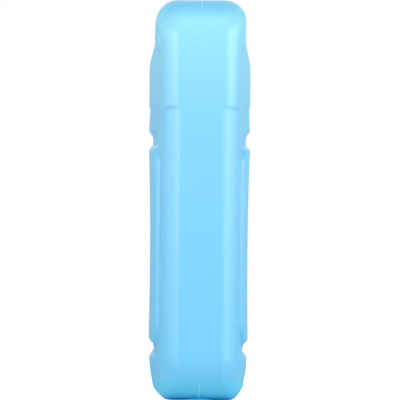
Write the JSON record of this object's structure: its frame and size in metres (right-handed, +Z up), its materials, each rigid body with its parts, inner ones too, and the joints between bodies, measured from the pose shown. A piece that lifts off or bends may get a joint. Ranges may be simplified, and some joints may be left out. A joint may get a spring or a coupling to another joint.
{
  "type": "reusable ice pack",
  "caption": "Hard-shell reusable ice pack: a sealed gel-filled rectangular block with rounded edges, cross grooves, a raised label panel and a welded fill plug.",
  "frame": {"origin": "centre of the base, on the surface that the pack stands on", "axes": "+Z up the height, X through the thickness, Y across the width, with the fill plug on the +Y narrow side"},
  "size_m": [0.0446, 0.184, 0.1715],
  "materials": {
    "shell": "satin translucent polyethylene, pale cyan blue from the gel inside",
    "plug": "satin polyethylene, a shade paler than the shell"
  },
  "bodies": {
    "root": {"pack_shell": "shell", "fill_plug": "plug"}
  },
  "joints": []
}
